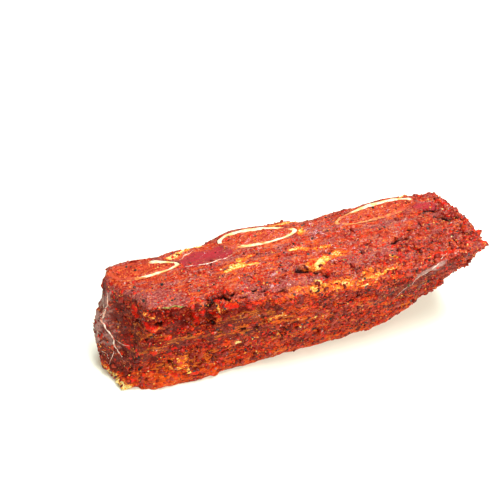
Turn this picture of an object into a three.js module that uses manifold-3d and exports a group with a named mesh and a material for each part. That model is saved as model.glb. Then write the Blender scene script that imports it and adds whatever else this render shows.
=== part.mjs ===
// A thick cross-cut strip of beef short ribs, rubbed all over with a coarse wet seasoning paste.
// It lies on one sawn face. X runs along the strip, Y points to the bone side and Z is up. All sizes are in mm.
import * as THREE from "three";
import { ImprovedNoise } from "three/addons/math/ImprovedNoise.js";
import { mergeVertices } from "three/addons/utils/BufferGeometryUtils.js";
import Module from "manifold-3d";

const wasm = await Module();
wasm.setup();

// The block of meat before it is warped
const stripLength = 194;
const stripHeight = 55; // thickness of the cut, between the two sawn faces
const blockDepth = 54;
const edgeRadius = 3.6;
const cellSize = 4.2; // side of one grid cell of the skin

// Plan of the strip: bone side at the back, a bowed meat side at the front, narrow at the left
const boneSideY = 27.6;
const swellEdge = 12; // the swelling of the back behind a rib fades out this far past the rib's tip
const frontReach = 30; // top front edge at its furthest
const frontWidestX = 45;
const frontTaper = 18; // how much nearer the front is one taperLength away from the widest place
const taperLength = 117;
const footReach = 13.5; // bottom front edge at its furthest
const footCentreX = -10;
const footTaper = 5;
const footLength = 85;
const bellyPower = 0.72; // under 1, so that the front swells out below the top edge

// Ends
const leftBlendX = -45; // the left end's shape fades out here
const leftChamfer = 14; // the front left corner is cut back by this
const footChamferShare = 0.2; // of that, at the table
const leftBackLean = 3;
const leftFootSpread = 7;
const leftEndBulge = 7;
const rightBlendX = 55;
const rightFrontCut = 5;
const rightBackCut = 3;
const rightUndercut = 6;

// Underside, which lifts off the table at the right, most of all at the front
const liftFromX = 20;
const liftLength = 78;
const frontLift = 30;
const backLiftFromX = 74;
const backLiftLength = 24;
const backLift = 5;

// Recess in the front face, under the top edge of the left half
const recessDepth = 4;
const recessX = -50;
const recessHalfLength = 32;
const recessHeight = 0.84; // share of the height
const recessHalfHeight = 0.12;

// Uneven flesh: smooth noise at two scales
const largeLump = { size: 24, height: 1.5 };
const smallLump = { size: 9, height: 1.1 };
const calmTop = 0.35; // share of the noise left beside the ribs, where the saw cut is flat
const tableTrim = 0.9; // what the flat base takes off the lumpy underside

// Ribs, from left to right: centre, half length and half width of each oval, turned by angle degrees.
// The back of the strip swells out behind each by its swell.
const ribs = [
  { name: "left", x: -77.5, y: 18.2, halfLength: 17.6, halfWidth: 6.6, angle: -7, pointed: 0.34, swell: 1.4 },
  { name: "middle", x: -16, y: 22.4, halfLength: 21.6, halfWidth: 7.4, angle: -7, pointed: 0.22, swell: 5 },
  { name: "right", x: 52, y: 19.6, halfLength: 25.5, halfWidth: 7, angle: 4, pointed: -0.14, swell: 2.6 },
];
const corticalWall = 2.3; // hard outer bone
const fitGap = 0.3; // between bone and flesh, and between bone and marrow
const ribProud = 0.5; // the sawn rib stands this far above the flesh, which has shrunk back
const marrowSunk = 0.7; // below the rib's own end
const ribSegments = 30;

// Coarse bits of the paste: single grains of pepper, chilli and garlic, and flat clots of them.
// Places are the evenly spaced places tried for each kind; those on the underside or by a rib stay bare.
const crumbKinds = [
  { places: 96, least: 1.0, most: 1.9, stretch: [1.15, 1, 0.8] },
  { places: 64, least: 2.0, most: 3.2, stretch: [1.3, 1, 0.75] },
];
const crumbRibMargin = 4.5;
const crumbLowestZ = 5;
const crumbSeed = 20;

const noise = new ImprovedNoise();
const clamp = THREE.MathUtils.clamp;
const lerp = THREE.MathUtils.lerp;
const smoothstep = THREE.MathUtils.smoothstep;
const square = (value) => value * value;
const bump = (value, centre, halfWidth) => square(Math.max(0, 1 - square((value - centre) / halfWidth)));

// Y of the back of the strip at x
function backSide(x) {
  return ribs.reduce((y, rib) => {
    const away = smoothstep(Math.abs(x - rib.x), 0.8 * rib.halfLength, rib.halfLength + swellEdge);
    return y + rib.swell * (1 - away);
  }, boneSideY);
}

// Y of the front of the strip at x and height share h
function frontSide(x, h) {
  const top = -(frontReach - frontTaper * square((x - frontWidestX) / taperLength));
  const foot = -(footReach - footTaper * square((x - footCentreX) / footLength));
  const recess =
    recessDepth * bump(x, recessX, recessHalfLength) * bump(h, recessHeight, recessHalfHeight);
  return lerp(foot, top, Math.pow(h, bellyPower)) + recess;
}

// How far a point is moved along X by the shape of the two ends
function endShift(x, t, h) {
  const left = square(clamp((leftBlendX - x) / (leftBlendX + stripLength / 2), 0, 1));
  const right = square(clamp((x - rightBlendX) / (stripLength / 2 - rightBlendX), 0, 1));
  const leftMove =
    leftChamfer * smoothstep(t, 0.4, 1) * lerp(footChamferShare, 1, h) +
    leftBackLean * (1 - smoothstep(t, 0, 0.3)) -
    leftFootSpread * square(1 - h) -
    leftEndBulge * Math.sin(Math.PI * Math.pow(h, 0.75)) * bump(t, 0.35, 0.6);
  const rightMove =
    rightFrontCut * smoothstep(t, 0.55, 1) +
    rightBackCut * (1 - smoothstep(t, 0, 0.3)) +
    rightUndercut * square(1 - h);
  return left * leftMove - right * rightMove;
}

// Height of the underside above the table, at x and depth share t
function undersideLift(x, t) {
  const front = frontLift * square(Math.max(0, x - liftFromX) / liftLength);
  const back = backLift * square(Math.max(0, x - backLiftFromX) / backLiftLength);
  return lerp(back, front, smoothstep(t, 0.25, 1));
}

// Moves a vertex of the plain block to its place on the strip
function warp(point) {
  const t = clamp(0.5 - point.y / blockDepth, 0, 1); // 0 at the back, 1 at the front
  const h = clamp(point.z / stripHeight, 0, 1);
  const x = point.x + endShift(point.x, t, h);
  const y = lerp(backSide(x), frontSide(x, h), t);
  const z = lerp(undersideLift(x, t), stripHeight, h);
  return new THREE.Vector3(x, y, z);
}

// Rounds the edges of a centred box: a point nearer to an edge than the radius moves onto the arc
function roundEdge(point, half, radius) {
  const inner = point.clone().clamp(
    half.clone().negate().addScalar(radius),
    half.clone().addScalar(-radius),
  );
  const out = point.clone().sub(inner);
  return out.lengthSq() > 0 ? inner.add(out.setLength(radius)) : inner;
}

// Only the positions, with shared vertices merged
function bare(geometry) {
  geometry.deleteAttribute("normal");
  geometry.deleteAttribute("uv");
  return mergeVertices(geometry, 1e-4);
}

function solidOf(geometry) {
  const merged = bare(geometry);
  return new wasm.Manifold(
    new wasm.Mesh({
      numProp: 3,
      vertProperties: merged.attributes.position.array,
      triVerts: new Uint32Array(merged.index.array),
    }),
  );
}

function geometryOf(solid) {
  const mesh = solid.getMesh();
  const geometry = new THREE.BufferGeometry();
  geometry.setAttribute("position", new THREE.BufferAttribute(mesh.vertProperties, 3));
  geometry.setIndex(new THREE.BufferAttribute(mesh.triVerts, 1));
  const flat = geometry.toNonIndexed();
  flat.computeVertexNormals();
  return flat;
}

// The skin of the strip: a rounded block, warped, with lumps along its normals
function fleshGeometry() {
  const size = new THREE.Vector3(stripLength, blockDepth, stripHeight);
  const cells = size.toArray().map((side) => Math.round(side / cellSize));
  const block = bare(new THREE.BoxGeometry(...size.toArray(), ...cells));
  const half = size.clone().multiplyScalar(0.5);
  const place = block.attributes.position;
  for (let i = 0; i < place.count; i++) {
    const rounded = roundEdge(new THREE.Vector3().fromBufferAttribute(place, i), half, edgeRadius);
    rounded.z += half.z;
    place.setXYZ(i, ...warp(rounded).toArray());
  }
  block.computeVertexNormals();
  const normal = block.attributes.normal;
  for (let i = 0; i < place.count; i++) {
    const point = new THREE.Vector3().fromBufferAttribute(place, i);
    const out = new THREE.Vector3().fromBufferAttribute(normal, i);
    const besideRibs = smoothstep(out.z, 0.6, 0.95) * smoothstep(point.y, -2, 12);
    const height = lerp(1, calmTop, besideRibs) * lumps(point);
    place.setXYZ(i, ...point.addScaledVector(out, height).toArray());
  }
  return block;
}

function lumps(point) {
  return [largeLump, smallLump].reduce((sum, lump) => {
    const at = point.clone().divideScalar(lump.size);
    return sum + lump.height * noise.noise(at.x, at.y, at.z);
  }, 0);
}

// Outline of a rib's cross-section, grown by a margin. It is blunter at one tip than at the other.
function ribOutline(rib, margin) {
  const turn = THREE.MathUtils.degToRad(rib.angle);
  const points = [];
  for (let i = 0; i < ribSegments; i++) {
    const angle = (2 * Math.PI * i) / ribSegments;
    const along = (rib.halfLength + margin) * Math.cos(angle);
    const across = (rib.halfWidth + margin) * Math.sin(angle) * (1 - rib.pointed * Math.cos(angle));
    points.push(
      new THREE.Vector2(along, across).rotateAround(new THREE.Vector2(), turn).add(new THREE.Vector2(rib.x, rib.y)),
    );
  }
  return points;
}

// A straight column with an oval section, between two heights. A second outline makes it a tube.
function column(outline, inner, bottom, top) {
  const shape = new THREE.Shape(outline);
  if (inner) shape.holes.push(new THREE.Path(inner));
  const geometry = new THREE.ExtrudeGeometry(shape, { depth: top - bottom, bevelEnabled: false });
  return geometry.translate(0, 0, bottom);
}

// A box that holds everything above the table
function aboveTable() {
  const room = 2 * stripLength;
  return new THREE.BoxGeometry(room, room, room).translate(0, 0, tableTrim + room / 2);
}

// Repeatable random numbers from 0 to 1
function randomFrom(seed) {
  let state = seed;
  return () => {
    state = (Math.imul(state, 1664525) + 1013904223) >>> 0;
    return state / 4294967296;
  };
}

// True where a point lies on a rib, or nearer to it than the margin
function overRib(point, margin) {
  return ribs.some((rib) => {
    const turned = new THREE.Vector2(point.x - rib.x, point.y - rib.y).rotateAround(
      new THREE.Vector2(),
      -THREE.MathUtils.degToRad(rib.angle),
    );
    return (
      square(turned.x / (rib.halfLength + margin)) + square(turned.y / (rib.halfWidth * 1.2 + margin)) < 1
    );
  });
}

// Angular bits of the paste of one kind, each sunk about half way into the skin
function crumbs(skin, kind, random) {
  const place = skin.attributes.position;
  const index = skin.index.array;
  const triangles = index.length / 3;
  const made = [];
  for (let tried = 0; tried < kind.places; tried++) {
    const corner = 3 * Math.floor((triangles * (tried + random())) / kind.places);
    const [a, b, c] = [0, 1, 2].map((k) => new THREE.Vector3().fromBufferAttribute(place, index[corner + k]));
    const out = new THREE.Triangle(a, b, c).getNormal(new THREE.Vector3());
    const centre = a.add(b).add(c).divideScalar(3);
    const radius = lerp(kind.least, kind.most, square(random()));
    const spin = new THREE.Euler(random() * Math.PI, random() * Math.PI, random() * Math.PI);
    if (centre.z < crumbLowestZ || out.z < -0.2 || overRib(centre, crumbRibMargin)) continue;
    const bit = new THREE.IcosahedronGeometry(radius, 0).scale(...kind.stretch);
    bit.applyMatrix4(new THREE.Matrix4().makeRotationFromEuler(spin));
    made.push(bit.translate(...centre.addScaledVector(out, -0.1 * radius).toArray()));
  }
  return made;
}

// The flesh: skin and crumbs in one, cut flat on the table, with a socket for each rib
function fleshSolid() {
  const skin = fleshGeometry();
  const random = randomFrom(crumbSeed);
  const bits = crumbKinds.flatMap((kind) => crumbs(skin, kind, random));
  const whole = bits.reduce((solid, bit) => solid.add(solidOf(bit)), solidOf(skin));
  const flat = whole.intersect(solidOf(aboveTable()));
  const reach = 10; // each socket's cutter passes both faces by this
  const socketed = ribs.reduce((solid, rib) => {
    const cutter = column(ribOutline(rib, fitGap), null, -reach, stripHeight + reach);
    return solid.subtract(solidOf(cutter));
  }, flat);
  return socketed.decompose().sort((one, other) => other.volume() - one.volume())[0];
}

const fleshMaterial = new THREE.MeshStandardMaterial({ color: 0xb0402c, roughness: 0.38, metalness: 0 });
const boneMaterial = new THREE.MeshStandardMaterial({ color: 0xf0dcae, roughness: 0.45, metalness: 0 });
const marrowMaterial = new THREE.MeshStandardMaterial({ color: 0xd4573a, roughness: 0.5, metalness: 0 });

function named(name, geometry, material) {
  const mesh = new THREE.Mesh(geometry, material);
  mesh.name = name;
  return mesh;
}

// One rib: its hard wall, and the marrow that fills it from end to end
function ribGroup(rib) {
  const bottom = tableTrim + fitGap;
  const top = stripHeight + ribProud;
  const wall = column(ribOutline(rib, 0), ribOutline(rib, -corticalWall), bottom, top);
  const core = column(ribOutline(rib, -corticalWall - fitGap), null, bottom + marrowSunk, top - marrowSunk);
  const group = new THREE.Group();
  group.add(named(`bone_${rib.name}`, wall, boneMaterial));
  group.add(named(`marrow_${rib.name}`, core, marrowMaterial));
  return group;
}

const rack = new THREE.Group();
rack.add(named("meat", geometryOf(fleshSolid()), fleshMaterial));
ribs.forEach((rib) => rack.add(ribGroup(rib)));

// The origin is under the middle of the strip's box, on the table
const box = new THREE.Box3().setFromObject(rack);
const middle = box.getCenter(new THREE.Vector3());
rack.position.set(-middle.x, -middle.y, -box.min.z);

export default rack;
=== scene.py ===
# A raw strip of beef short ribs, sawn across three ribs and rubbed with a coarse, oily spice paste.
# Lengths are in millimetres, in the part's own frame: X along the strip, Y to the bone side, Z up.
import math
import bpy
import numpy as np
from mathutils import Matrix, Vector, kdtree, noise


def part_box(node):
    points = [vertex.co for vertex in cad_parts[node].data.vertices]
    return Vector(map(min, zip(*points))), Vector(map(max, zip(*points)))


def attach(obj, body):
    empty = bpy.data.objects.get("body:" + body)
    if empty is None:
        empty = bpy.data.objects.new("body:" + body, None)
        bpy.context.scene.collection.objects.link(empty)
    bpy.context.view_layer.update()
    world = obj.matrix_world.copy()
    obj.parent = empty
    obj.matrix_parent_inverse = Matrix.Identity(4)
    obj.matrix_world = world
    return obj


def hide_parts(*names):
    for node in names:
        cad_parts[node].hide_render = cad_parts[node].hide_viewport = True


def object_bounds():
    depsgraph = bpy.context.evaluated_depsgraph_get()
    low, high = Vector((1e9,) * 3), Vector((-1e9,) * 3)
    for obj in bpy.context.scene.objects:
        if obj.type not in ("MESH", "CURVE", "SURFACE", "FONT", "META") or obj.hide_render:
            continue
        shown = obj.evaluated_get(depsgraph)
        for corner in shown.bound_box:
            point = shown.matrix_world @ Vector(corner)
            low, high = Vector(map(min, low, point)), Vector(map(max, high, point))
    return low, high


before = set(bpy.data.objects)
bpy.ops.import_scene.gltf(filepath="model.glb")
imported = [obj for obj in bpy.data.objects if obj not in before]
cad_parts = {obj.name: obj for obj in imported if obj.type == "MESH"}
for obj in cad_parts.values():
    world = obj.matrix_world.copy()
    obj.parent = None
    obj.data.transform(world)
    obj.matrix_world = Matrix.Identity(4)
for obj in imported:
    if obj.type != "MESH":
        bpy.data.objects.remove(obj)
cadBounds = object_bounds()
mm = 0.001
cadLow, cadHigh = (np.array(corner) / mm for corner in cadBounds)
print("frame loaded")


# Small helpers

def pick(*things):
    bpy.ops.object.select_all(action="DESELECT")
    for thing in things:
        thing.select_set(True)
    bpy.context.view_layer.objects.active = things[0]


def addModifier(thing, kind, **settings):
    # adds a modifier and applies it at once
    pick(thing)
    made = thing.modifiers.new(kind.title(), kind)
    for name, value in settings.items():
        setattr(made, name, value)
    bpy.ops.object.modifier_apply(modifier=made.name)


def addPiece(name, data):
    piece = bpy.data.objects.new(name, data)
    bpy.context.scene.collection.objects.link(piece)
    return piece


def copyNode(node, name):
    # a copy of a CAD node, with the loose triangles joined up
    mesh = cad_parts[node].data.copy()
    mesh.materials.clear()
    piece = addPiece(name, mesh)
    pick(piece)
    bpy.ops.object.mode_set(mode="EDIT")
    bpy.ops.mesh.select_all(action="SELECT")
    bpy.ops.mesh.remove_doubles(threshold=0.001 * mm)
    bpy.ops.object.mode_set(mode="OBJECT")
    return piece


def readPoints(piece, what="co"):
    flat = np.zeros(len(piece.data.vertices) * 3)
    piece.data.vertices.foreach_get(what, flat)
    return flat.reshape(-1, 3) / (mm if what == "co" else 1)


def writePoints(piece, points):
    piece.data.vertices.foreach_set("co", (points * mm).ravel())
    piece.data.update()


def writeField(piece, name, values):
    # a number for each vertex, which the material reads by name
    layer = piece.data.attributes.new(name, "FLOAT", "POINT")
    layer.data.foreach_set("value", np.clip(values, 0, 1).astype(np.float32))


def between(low, high, value):
    t = np.clip((value - low) / (high - low), 0, 1)
    return t * t * (3 - 2 * t)


def noiseAt(points, size, stretch=(1, 1, 1), seed=0):
    # smooth noise from -1 to 1, with features of about that size
    scaled = points / (size * np.array(stretch)) + seed
    return np.array([noise.noise(Vector(p)) for p in scaled.tolist()])


def finishPiece(piece, material, slot, *nodes, smooth=True):
    piece.data.materials.clear()
    piece.data.materials.append(material)
    if smooth:
        pick(piece)
        bpy.ops.object.shade_smooth()
    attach(piece, "root")
    if nodes:
        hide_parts(*nodes)


# Camera, light and floor

camera = {"aim": (5.1, 73, -0.9), "distance": 440, "azimuth": -21, "elevation": 40, "lens": 50, "sensor": 36}
lamps = {
    "keyLamp": {
        "azimuth": 60, "elevation": 80, "distance": 900, "size": 420, "watts": 12.2, "tint": "fffaf6"},
    "frontLamp": {
        "azimuth": 20, "elevation": 30, "distance": 1100, "size": 500, "watts": 13.4, "tint": "fff8ee"},
    "glintLamp": {
        "azimuth": 150, "elevation": 45, "distance": 900, "size": 110, "watts": 1.5, "tint": "f0f2ff"},
}
lampAim = (0, 0, 25)
surroundings = {"sky": "ffeed2", "strength": 0.58}
floorLook = {
    "side": 6000, "drop": 0.1, "tint": "dae6e0", "roughness": 0.9, "glowTint": "fff6d8", "glow": 0.14}


def awayFrom(aim, azimuth, elevation, distance):
    a, e = math.radians(azimuth), math.radians(elevation)
    back = Vector((math.sin(a) * math.cos(e), -math.cos(a) * math.cos(e), math.sin(e)))
    place = (Vector(aim) + back * distance) * mm
    return place, (-back).to_track_quat("-Z", "Y").to_euler()


def buildStage():
    place, turn = awayFrom(camera["aim"], camera["azimuth"], camera["elevation"], camera["distance"])
    bpy.ops.object.camera_add(location=place, rotation=turn)
    eye = bpy.context.object
    eye.data.lens = camera["lens"]
    eye.data.sensor_width = camera["sensor"]
    eye.data.clip_start = 0.01
    bpy.context.scene.camera = eye
    for name, lamp in lamps.items():
        place, turn = awayFrom(lampAim, lamp["azimuth"], lamp["elevation"], lamp["distance"])
        bpy.ops.object.light_add(type="AREA", location=place, rotation=turn)
        light = bpy.context.object
        light.name = name
        light.data.size = lamp["size"] * mm
        light.data.energy = lamp["watts"]
        light.data.color = tint(lamp["tint"])[:3]
    world = bpy.data.worlds.new("softbox")
    world.use_nodes = True
    sky = world.node_tree.nodes["Background"].inputs
    sky["Color"].default_value = tint(surroundings["sky"])
    sky["Strength"].default_value = surroundings["strength"]
    bpy.context.scene.world = world
    bpy.context.scene.view_settings.view_transform = "Standard"
    bpy.ops.mesh.primitive_plane_add(size=floorLook["side"] * mm, location=(0, 0, -floorLook["drop"] * mm))
    floor = bpy.context.object
    floor.name = "floor"
    paper = bpy.data.materials.new("paleFloor")
    paper.use_nodes = True
    card = paper.node_tree.nodes["Principled BSDF"].inputs
    card["Base Color"].default_value = tint(floorLook["tint"])
    card["Roughness"].default_value = floorLook["roughness"]
    card["Emission Color"].default_value = tint(floorLook["glowTint"])
    card["Emission Strength"].default_value = floorLook["glow"]
    floor.data.materials.append(paper)
    print("stage built")


# Shader maths: an output socket that can be reckoned with

class Wire:
    def __init__(self, tree, socket):
        self.tree = tree
        self.socket = socket

    def node(self, kind, settings, sockets, out=0):
        made = self.tree.nodes.new("ShaderNode" + kind)
        for name, value in settings.items():
            if name == "stops":
                ramp = made.color_ramp
                while len(ramp.elements) < len(value):
                    ramp.elements.new(1)
                for element, (position, shade) in zip(ramp.elements, value):
                    element.position = position
                    element.color = tint(shade)
            else:
                setattr(made, name, value)
        for name, value in sockets.items():
            if isinstance(value, Wire):
                self.tree.links.new(value.socket, made.inputs[name])
            else:
                made.inputs[name].default_value = value
        return Wire(self.tree, made.outputs[out])

    def sum(self, operation, first, second):
        return self.node("Math", {"operation": operation}, {0: first, 1: second})

    def __add__(self, other):
        return self.sum("ADD", self, other)

    def __radd__(self, other):
        return self.sum("ADD", other, self)

    def __sub__(self, other):
        return self.sum("SUBTRACT", self, other)

    def __rsub__(self, other):
        return self.sum("SUBTRACT", other, self)

    def __mul__(self, other):
        return self.sum("MULTIPLY", self, other)

    def __rmul__(self, other):
        return self.sum("MULTIPLY", other, self)

    def step(self, low, high):
        # 0 below low, 1 above high and a soft edge between them
        return self.node("MapRange", {"interpolation_type": "SMOOTHSTEP"}, {0: self, 1: low, 2: high})

    def blend(self, first, second):
        # this wire is the mask: 0 gives the first colour and 1 the second
        return self.node("Mix", {"data_type": "RGBA"}, {0: self, 6: first, 7: second}, out=2)

    def ramp(self, stops):
        return self.node("ValToRGB", {"stops": stops}, {0: self})


def tint(shade):
    # a colour written as six hex digits, for a shader socket
    parts = [int(shade[i:i + 2], 16) / 255 for i in (0, 2, 4)]
    return tuple(p / 12.92 if p <= 0.04045 else ((p + 0.055) / 1.055) ** 2.4 for p in parts) + (1,)


def tints(colours):
    return {name: tint(shade) for name, shade in colours.items()}


def startMaterial(name, **constants):
    material = bpy.data.materials.new(name)
    material.use_nodes = True
    tree = material.node_tree
    shader = tree.nodes["Principled BSDF"]
    for socket, value in constants.items():
        shader.inputs[socket.replace("_", " ")].default_value = value
    place = Wire(tree, tree.nodes.new("ShaderNodeTexCoord").outputs["Object"])
    return material, shader, place


def setSocket(shader, socket, wire):
    wire.tree.links.new(wire.socket, shader.inputs[socket])


def field(place, name):
    return place.node("Attribute", {"attribute_name": name}, {}, out=2)


def spread(place, size, stretch=(1, 1, 1)):
    scale = tuple(1 / (size * mm * along) for along in stretch)
    return place.node("Mapping", {}, {"Vector": place, "Scale": scale})


def clouds(place, size, stretch=(1, 1, 1), detail=3, rough=0.5):
    return place.node("TexNoise", {}, {
        "Vector": spread(place, size, stretch), "Scale": 1, "Detail": detail, "Roughness": rough})


def cells(place, size, stretch=(1, 1, 1)):
    # how far a point is from its cell's middle
    return place.node("TexVoronoi", {}, {"Vector": spread(place, size, stretch), "Scale": 1})


def cellLuck(place, size, stretch=(1, 1, 1)):
    # a random number for each of the same cells
    shade = place.node("TexVoronoi", {}, {"Vector": spread(place, size, stretch), "Scale": 1}, out=1)
    return shade.node("SeparateColor", {}, {0: shade})


def addBump(shader, height, strength, depth):
    # depth in millimetres
    bump = height.node("Bump", {}, {"Strength": strength, "Distance": depth * mm, "Height": height})
    setSocket(shader, "Normal", bump)


# The finish of the spiced meat

topPaste = [(0.4, "2f0504"), (0.46, "66110a"), (0.51, "8c2216"), (0.56, "a02c1a"), (0.62, "b04824")]
sidePaste = [(0.4, "220201"), (0.46, "4a0502"), (0.51, "860f03"), (0.56, "b02405"), (0.62, "d04206")]
# the colours of the cracks and pits are painted shade, and the paler top mauve is partly a painted sheen
meatColours = {
    "topMauve": "6e2e30", "topPaleSheen": "9a5c58", "sideMauve": "5a2420", "maroon": "780c06", "dusty": "aa7058",
    "deep": "3c0403", "pitShadow": "120405", "orange": "c4440a", "chilli": "c01604", "amber": "c2681f",
    "pepper": "110f11", "halo": "c4561a", "fat": "cf9430", "paleFat": "d4c884", "muscle": "94232e",
    "film": "a68682",
}
meatFinish = {
    "broad": 14, "patch": 4.5, "pale": 3.4, "gloss": 2.6, "dust": 1.2, "streak": 1.0, "fibre": 0.8,
    "grain": 0.8, "fine": 0.45, "clot": 0.9, "speck": 1.5, "speckle": 1.15, "bumpDepth": 0.7}


def meatMaterial():
    shades = tints(meatColours)
    material, shader, place = startMaterial(
        "spicedMeat", IOR=1.34, Specular_IOR_Level=0.1, Coat_Roughness=0.14, Coat_IOR=1.4)
    top, foot, low, dark = (field(place, name) for name in ("top", "foot", "low", "dark"))
    broad = clouds(place, meatFinish["broad"], (1.6, 1, 1))
    patchy = clouds(place, meatFinish["patch"], (2.2, 1, 1), detail=4)
    fibre = clouds(place, meatFinish["fibre"], (9, 1, 1), detail=4, rough=0.6)
    streak = clouds(place, meatFinish["streak"], (9, 1, 1), detail=4, rough=0.6)
    grain = clouds(place, meatFinish["grain"], detail=3, rough=0.65)
    fine = clouds(place, meatFinish["fine"], (1.5, 1, 1), detail=2)
    dust = clouds(place, meatFinish["dust"], (1.3, 1, 1), detail=2, rough=0.6)

    # the paste, with painted shade in its hollows and on the dark marks, and streaked along the strip
    luck = cellLuck(place, meatFinish["clot"], (1.6, 1, 1))
    threads = (fibre - 0.5) * (1 - top * 0.55)
    tone = threads * 0.42 + patchy * 0.24 + broad * 0.12 + grain * 0.2 + luck * 0.1 + top * 0.03 + 0.19
    # low darkens the paste as painted shade in the hollows of the relief, and dark as painted shade on the
    # dark marks
    tone = tone - dark * 0.055 - low * (0.07 + top * 0.04) + (fine - 0.5) * 0.42
    colour = top.blend(tone.ramp(sidePaste), tone.ramp(topPaste))
    # the dark marks: painted shade, toward maroon
    colour = (dark * 0.45).blend(colour, shades["maroon"])
    # paler mauve patches where the paste is thin; the paler shade on top is partly a painted sheen
    pale = clouds(place, meatFinish["pale"], (2.6, 1, 1), detail=6, rough=0.68)
    pale = pale + field(place, "mauve") * 0.2 + (grain - 0.5) * 0.22 + top * 0.025
    mauve = fine.step(0.42, 0.62).blend(shades["topMauve"], shades["topPaleSheen"])
    colour = (pale.step(0.5, 0.6) * 0.8).blend(colour, top.blend(shades["sideMauve"], mauve))
    oily = (1 - top) * 0.03 + foot * 0.12 + streak * 0.65 + patchy * 0.35 + field(place, "amber") * 0.08
    oily = oily - field(place, "mauve") * 0.12
    colour = (oily.step(0.54, 0.7) * (1 - dark * 0.8) * 0.75).blend(colour, shades["orange"])

    # grains and dust in it
    where = meatFinish["speck"], (1.2, 1, 1)
    speck = (grain * 0.3 + 0.2 - cells(place, *where)).step(0, 0.1)
    colour = (speck * cellLuck(place, *where).step(0.66, 0.68)).blend(colour, shades["chilli"])
    where = meatFinish["speckle"], (1.3, 1, 1)
    speckle = (grain * 0.3 + 0.14 - cells(place, *where)).step(0, 0.1)
    luck = cellLuck(place, *where)
    colour = (speckle * luck.step(0.74, 0.76)).blend(colour, shades["amber"])
    colour = (speckle * (1 - luck.step(0.08, 0.1))).blend(colour, shades["pepper"])
    colour = (dust.step(0.56, 0.64) * (top * 0.5 + 0.12)).blend(colour, shades["dusty"])
    colour = ((0.44 - dust).step(0, 0.08) * (top * 0.4 + 0.12)).blend(colour, shades["maroon"])

    # bare muscle with painted highlight streaks, fat, red lumps, film, and painted shade in the cracks, black
    # in the deepest pits
    # the bare muscle, with painted highlight streaks
    muscle = (streak.step(0.42, 0.58) * 0.6).blend(shades["muscle"], shades["topMauve"])
    muscle = (fine.step(0.5, 0.7) * 0.3).blend(muscle, shades["topPaleSheen"])
    colour = (field(place, "bare") * 1.4 + fibre * 0.8 - 0.7).step(0.15, 0.5).blend(colour, muscle)
    amber = (field(place, "amber") * 0.5 + streak * 1.0 + fibre * 0.6 - 1.18).step(0, 0.3)
    colour = (amber * 0.8).blend(colour, shades["amber"])
    fat = field(place, "fat") + (streak - 0.5) * 1.3 + (patchy - 0.5) * 1.1 + (grain - 0.5) * 1.8 - 0.3
    for shade, amount in (("halo", -0.12), ("fat", 0.2), ("paleFat", 0.4)):
        colour = fat.step(amount, amount + 0.3).blend(colour, shades[shade])
    red = (field(place, "red") + grain * 0.9 + fine * 0.5 - 1).step(0, 0.5)
    colour = (red * 0.8).blend(colour, shades["chilli"])
    film = field(place, "film") + (patchy - 0.5) * 2 + (fine - 0.5) * 0.6 - 0.3
    colour = (film.step(0, 0.6) * 0.75).blend(colour, shades["film"])
    # painted shade in the cracks and pits, and painted shadow, near black, in the deepest
    deep = field(place, "deep") * 1.4 + grain * 1.4
    colour = ((deep - 1.3).step(0, 0.6) * 0.9).blend(colour, shades["deep"])
    colour = ((deep - 1.7).step(0, 0.3) * 0.85).blend(colour, shades["pitShadow"])
    setSocket(shader, "Base Color", colour)
    setSocket(shader, "Roughness", 0.34 + grain * 0.24)
    gloss = clouds(place, meatFinish["gloss"], detail=2).step(0.45, 0.62) * (0.3 - low * 0.26)
    setSocket(shader, "Coat Weight", gloss * (0.45 + top * 0.55))
    height = fibre * 0.6 + grain * 0.9 + speck * 0.3 + speckle * 0.25
    addBump(shader, height, 1.0, meatFinish["bumpDepth"])
    return material


# The finish of bone and marrow

boneColours = {"pale": "cdc5aa", "yellow": "c2a55d", "amber": "b56f2f", "darkRed": "842014", "red": "a13a1e"}
marrowColours = {
    "base": "881a0e", "light": "a23419", "fleck": "be6424", "dark": "6a100c", "gold": "c47a3a",
    "pore": "540e0b", "paleGrain": "c7aa61"}


def boneMaterial():
    shades = tints(boneColours)
    material, shader, place = startMaterial(
        "sawnBone", Specular_IOR_Level=0.3, Coat_Weight=0.2, Coat_Roughness=0.2)
    mottle = clouds(place, 4, detail=4)
    stain = field(place, "stain")
    colour = mottle.step(0.42, 0.66).blend(shades["pale"], shades["yellow"])
    colour = (stain * 1.2 + mottle * 0.6 - 0.35).step(0.1, 0.4).blend(colour, shades["amber"])
    red = mottle.step(0.35, 0.6).blend(shades["darkRed"], shades["red"])
    smeared = (stain * 1.5 + clouds(place, 1.6, detail=4) * 0.9 - 0.95).step(0.2, 0.4)
    colour = smeared.blend(colour, red)
    setSocket(shader, "Base Color", colour)
    setSocket(shader, "Roughness", 0.32 + mottle * 0.2)
    addBump(shader, clouds(place, 0.7, detail=3) + clouds(place, 0.5, (12, 1, 1)) * 0.5, 0.5, 0.12)
    return material


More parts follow.
